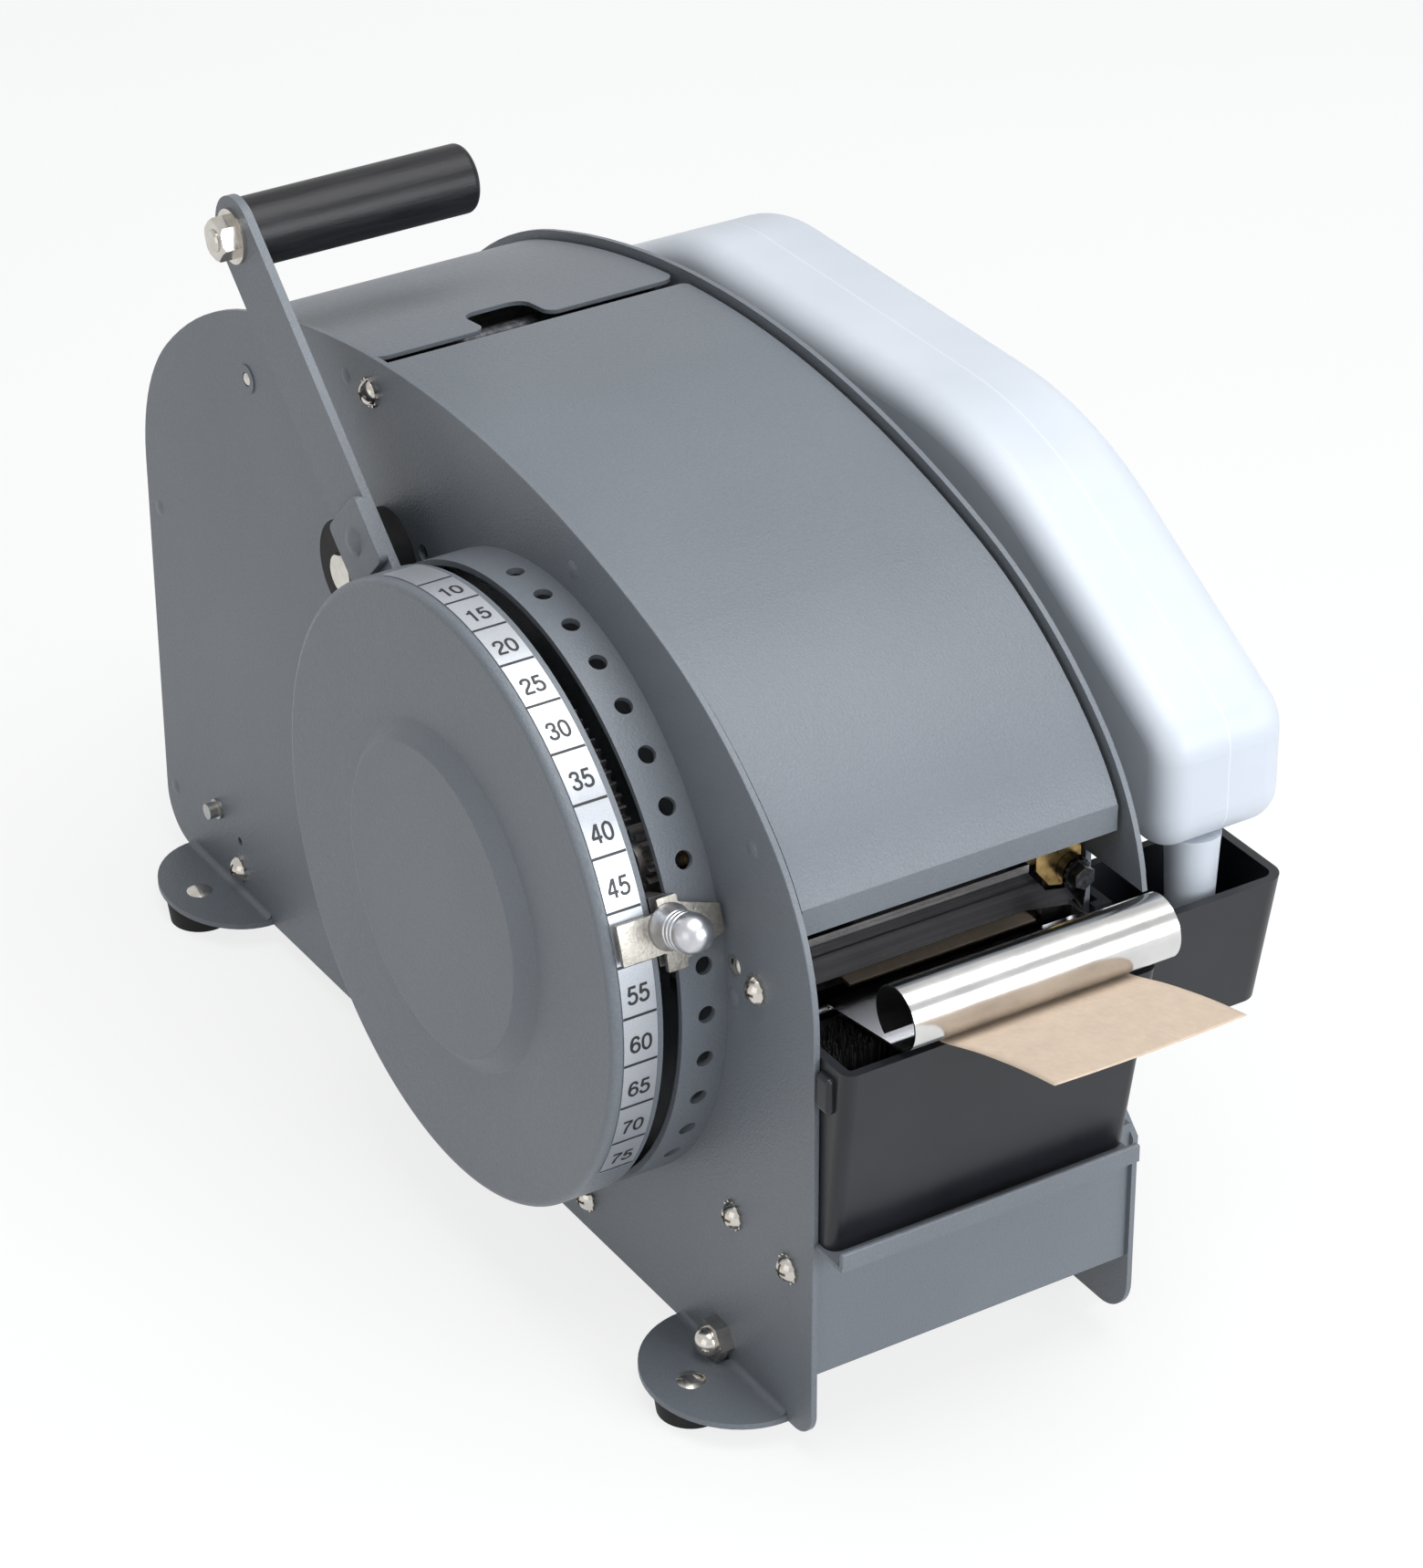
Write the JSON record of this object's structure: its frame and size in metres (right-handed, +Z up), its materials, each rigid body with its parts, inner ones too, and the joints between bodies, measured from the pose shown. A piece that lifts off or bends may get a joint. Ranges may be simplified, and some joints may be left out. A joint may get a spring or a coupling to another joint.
{
  "type": "gummed tape dispenser",
  "caption": "Hand-lever gummed paper tape dispenser with a dial length selector, water tank and brush, shear, curved covers and a side water bottle.",
  "frame": {"origin": "middle of the overall box, on the plane of the rubber feet", "axes": "+Z up, -Y to the front where the paper leaves, +X to the operator's right, where the bottle is"},
  "size_m": [0.2354, 0.517, 0.3205],
  "materials": {
    "blue_paint": "fine textured satin paint",
    "zinc_steel": "zinc plated",
    "bright_steel": "bright plated",
    "satin_nickel": "satin nickel",
    "blade_steel": "ground and polished",
    "knob_aluminium": "turned and polished",
    "label_silver": "satin with dark figures",
    "brass": "turned",
    "black_bolt": "blackened",
    "rubber": "matt",
    "black_plastic": "satin",
    "bristle": "matt",
    "white_plastic": "satin, slightly milky",
    "grip_wood": "black lacquer",
    "kraft_paper": "plain kraft",
    "cardboard": "plain"
  },
  "bodies": {
    "frame": {"back_panel": "blue_paint", "bottle_brackets": "blue_paint", "bright_rivets": "bright_steel", "brush_block": "black_plastic", "brush_bristles": "bristle", "bumper_bolt": "bright_steel", "cross_bars": "black_bolt", "curl_mount": "zinc_steel", "dial_cover": "blue_paint", "dial_post": "zinc_steel", "dial_ring": "blue_paint", "dome_nuts": "bright_steel", "feed_bushings": "brass", "fixed_blade": "blade_steel", "floor_pan": "blue_paint", "flush_rivets": "blue_paint", "foot_rivets": "bright_steel", "front_panel": "blue_paint", "lever_bumper": "rubber", "pivot_bolt": "black_bolt", "pivot_bushing": "brass", "plate_screws": "bright_steel", "pressure_axle": "zinc_steel", "roll_guides": "zinc_steel", "roller_axles": "zinc_steel", "rubber_feet": "rubber", "scale_label": "label_silver", "screw_nuts": "zinc_steel", "side_plate_left": "blue_paint", "side_plate_right": "blue_paint", "star_washers": "bright_steel", "tape_strip": "kraft_paper", "tape_table": "zinc_steel", "tape_web": "kraft_paper", "water_tank": "black_plastic"},
    "lever": {"lever_hub": "zinc_steel", "lever_bar": "blue_paint", "lever_stiffener": "blue_paint", "lever_rivet": "blue_paint", "main_gear": "zinc_steel", "grip_bolt": "bright_steel", "grip_nut": "bright_steel", "grip": "grip_wood"},
    "feed": {"feed_shaft": "zinc_steel", "feed_roller": "rubber", "pinion": "zinc_steel"},
    "pressure": {"pressure_roller": "rubber"},
    "roll": {"tape_roll": "kraft_paper", "roll_core": "cardboard"},
    "back_support": {"support_roller_back": "white_plastic"},
    "front_support": {"support_roller_front": "white_plastic"},
    "selector": {"selector_arm": "zinc_steel"},
    "pointer": {"pointer_plate": "satin_nickel", "selector_knob": "knob_aluminium"},
    "lid": {"lid": "blue_paint"},
    "cover": {"front_cover": "blue_paint"},
    "blade": {"moving_blade": "blade_steel"},
    "curl": {"curl_plate": "bright_steel"},
    "bottle": {"water_bottle": "white_plastic", "bottle_cap": "black_plastic"}
  },
  "joints": [
    {"name": "lever_swing", "type": "hinge", "parent": "frame", "child": "lever", "pos_m": [-0.08925, -0.03295, 0.1454], "axis": [1, 0, 0], "range_deg": [0, 93.4]},
    {"name": "feed_spin", "type": "hinge", "parent": "frame", "child": "feed", "pos_m": [-0.00125, -0.10596, 0.1877], "axis": [1, 0, 0], "range_deg": [-760, 5]},
    {"name": "pressure_spin", "type": "hinge", "parent": "frame", "child": "pressure", "pos_m": [-0.00125, -0.10596, 0.1367], "axis": [1, 0, 0], "range_deg": [-5, 2400]},
    {"name": "roll_spin", "type": "hinge", "parent": "frame", "child": "roll", "pos_m": [-0.00125, 0.1472, 0.12385], "axis": [1, 0, 0], "continuous": true},
    {"name": "back_support_spin", "type": "hinge", "parent": "frame", "child": "back_support", "pos_m": [-0.01125, 0.21535, 0.0384], "axis": [1, 0, 0], "continuous": true},
    {"name": "front_support_spin", "type": "hinge", "parent": "frame", "child": "front_support", "pos_m": [-0.01125, 0.07905, 0.0384], "axis": [1, 0, 0], "continuous": true},
    {"name": "selector_swing", "type": "hinge", "parent": "frame", "child": "selector", "pos_m": [-0.08925, -0.03295, 0.1454], "axis": [1, 0, 0], "range_deg": [-75.09, 56.32]},
    {"name": "pointer_slide", "type": "slide", "parent": "selector", "child": "pointer", "axis": [0, -0.9439, 0.3302], "range_m": [-0.0017, 0]},
    {"name": "lid_hinge", "type": "hinge", "parent": "frame", "child": "lid", "pos_m": [-0.00925, 0.24955, 0.1482], "axis": [-1, 0, 0], "range_deg": [0, 9]},
    {"name": "cover_hinge", "type": "hinge", "parent": "frame", "child": "cover", "pos_m": [-0.00925, -0.15135, 0.2103], "axis": [1, 0, 0], "range_deg": [0, 55]},
    {"name": "blade_pivot", "type": "hinge", "parent": "frame", "child": "blade", "pos_m": [0.04495, -0.15255, 0.1674], "axis": [0, -1, 0], "range_deg": [0, 5], "stiffness_Nm_per_rad": 0.6, "springref_deg": -11.46},
    {"name": "curl_hinge", "type": "hinge", "parent": "frame", "child": "curl", "pos_m": [-0.00925, -0.15695, 0.1483], "axis": [-1, 0, 0], "range_deg": [0, 20]},
    {"name": "bottle_lift", "type": "slide", "parent": "frame", "child": "bottle", "axis": [0, 0, 1], "range_m": [0, 0.2]}
  ],
  "couplings": [
    {"joint": "feed_spin", "follows": "lever_swing", "ratio": -8},
    {"joint": "pressure_spin", "follows": "lever_swing", "ratio": 25.433},
    {"joint": "back_support_spin", "follows": "roll_spin", "ratio": -11.111},
    {"joint": "front_support_spin", "follows": "roll_spin", "ratio": -11.111}
  ]
}
